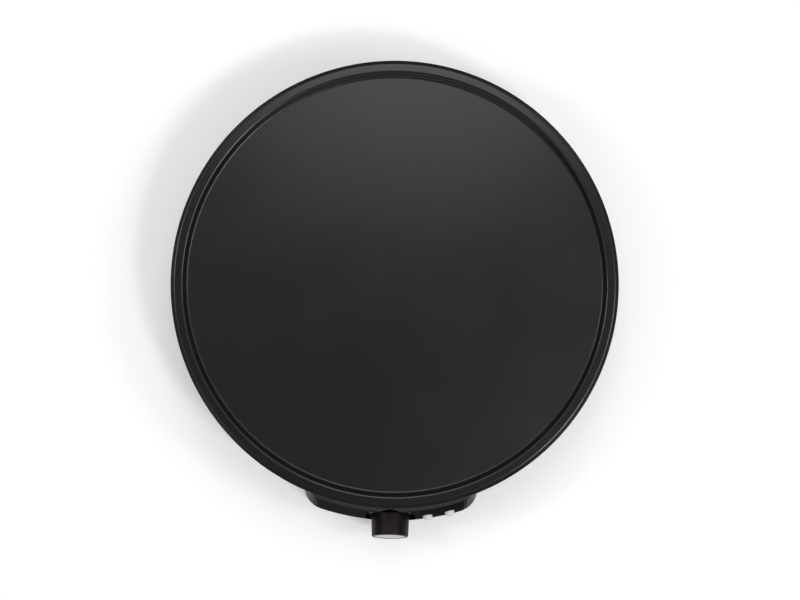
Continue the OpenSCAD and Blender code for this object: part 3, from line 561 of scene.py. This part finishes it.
def world():
    """An even white dome, dimmer as a light than it looks."""
    bpy.context.scene.world = sky = bpy.data.worlds.new("studio")
    sky.use_nodes = True
    tree = sky.node_tree
    background = tree.nodes["Background"]
    background.inputs["Color"].default_value = (1, 1, 1, 1)
    light = tree.nodes.new("ShaderNodeMapRange")
    tree.links.new(shows_white(tree.nodes, tree.links), light.inputs["Value"])
    light.inputs["To Min"].default_value = WORLD_LIGHT
    light.inputs["To Max"].default_value = 1
    tree.links.new(light.outputs["Result"], background.inputs["Strength"])


# ---- Cloths and lamps ----

CLOTH_COLOUR = (0.02, 0.02, 0.02, 1)
CLOTH_SIDES = 96
CLOTH_GLOW = 0.12

# The skirt's glow falls to a share of it between these places along X
CLOTH_FADE = 0.02, 0.16
SKIRT_RIGHT_SHARE = 0.05

# Radius and height, in millimetres
SKIRT = [(430, 2), (1600, 60)]
CANOPY = [(0, 3000), (1300, 3000)]
CANOPY_GLOW = 0.18

# Azimuth from +X towards +Y in degrees, and the heights of the lower and upper edge
SIDE_AWAY = 2.5
SIDE_CLOTHS = {
    "right_cloth": (0, 0, 2.3),
    "back_cloth": (90, 0, 2.3),
    "left_cloth": (180, 0, 2.3),
    "front_cloth": (270, 1.5, 5),
}

# Azimuth and elevation in degrees, distance, size, watts and colour
LAMPS = {
    "back_box": (88, 66, 1.55, (0.55, 0.9), 4.4, (0.97, 1, 0.985)),
    "key_box": (-40, 60, 1.9, (0.3, 0.3), 9, (1, 1, 1)),
    "right_box": (-8, 50, 1.9, (0.4, 0.4), 4.4, (1, 1, 1)),
    "left_box": (172, 50, 1.8, (0.3, 0.5), 4, (1, 0.93, 0.8)),
}


def cloth(name, verts, faces, glow, right_share=1.0):
    """Dark cloth that only reflections show. Its glow falls to a share at the set's right."""
    piece = new_piece(name, verts, faces)
    tree = Tree(name)
    # Painted fold shading: the glow is up to a tenth brighter or darker in broad patches, as if the
    # flat cloth hung in folds
    painted_fold_shade = tree.spread(tree.noise(3, 3), 0.9, 1.1)
    aside = tree.put("SeparateXYZ", {0: tree.place}).outputs["X"]
    even = tree.spread(aside, glow, glow * right_share, *CLOTH_FADE)
    tree.set(
        base_color=CLOTH_COLOUR,
        roughness=1.0,
        emission_color=(1, 1, 1, 1),
        emission_strength=tree.put("Math", {0: painted_fold_shade, 1: even}, operation="MULTIPLY").outputs[0],
    )
    piece.data.materials.append(tree.material)
    for ray in ("camera", "diffuse", "transmission", "volume_scatter", "shadow"):
        setattr(piece, "visible_" + ray, False)


def side_cloth(name, azimuth, low, high):
    """An upright cloth, half as far away as it is wide."""
    turn = Matrix.Rotation(math.radians(azimuth), 3, "Z")
    corners = [(-SIDE_AWAY, low), (SIDE_AWAY, low), (SIDE_AWAY, high), (-SIDE_AWAY, high)]
    verts = [turn @ Vector((SIDE_AWAY, y, z)) for y, z in corners]
    cloth(name, verts, [(0, 1, 2, 3)], CLOTH_GLOW)


def lamp(name, azimuth, elevation, distance, size, watts, colour):
    """A soft box aimed at the plate."""
    a, e = math.radians(azimuth), math.radians(elevation)
    way = Vector((math.cos(e) * math.cos(a), math.cos(e) * math.sin(a), math.sin(e)))
    data = bpy.data.lights.new(name, "AREA")
    data.shape = "RECTANGLE"
    data.size, data.size_y = size
    data.energy = watts
    data.color = colour
    piece = bpy.data.objects.new(name, data)
    piece.location = cooking_point + way * distance
    piece.rotation_euler = way.to_track_quat("Z", "Y").to_euler()
    piece.visible_camera = False
    bpy.context.scene.collection.objects.link(piece)


# ---- Camera ----

CAMERA_Z = 1.48
CAMERA_ASIDE = (4.5 * MM, -12.9 * MM, 0)
CAMERA_TURN = math.radians(1.12)
CAMERA_LENS = 74.42


def camera():
    """Straight above the plate, moved a little aside and turned."""
    data = bpy.data.cameras.new("camera")
    data.lens = CAMERA_LENS
    data.sensor_width = 36
    piece = bpy.data.objects.new("camera", data)
    aside = Matrix.Rotation(CAMERA_TURN, 3, "Z") @ Vector(CAMERA_ASIDE)
    piece.location = axis_point + aside + Vector((0, 0, CAMERA_Z))
    piece.rotation_euler = (0, 0, CAMERA_TURN)
    bpy.context.scene.collection.objects.link(piece)
    bpy.context.scene.camera = piece


floor()
world()
cloth("skirt", *turned(SKIRT, axis_point, CLOTH_SIDES), CLOTH_GLOW, SKIRT_RIGHT_SHARE)
cloth("canopy", *turned(CANOPY, axis_point, CLOTH_SIDES), CANOPY_GLOW)
for name, place in SIDE_CLOTHS.items():
    side_cloth(name, *place)
for name, settings in LAMPS.items():
    lamp(name, *settings)
camera()
bpy.context.scene.view_settings.view_transform = "Standard"
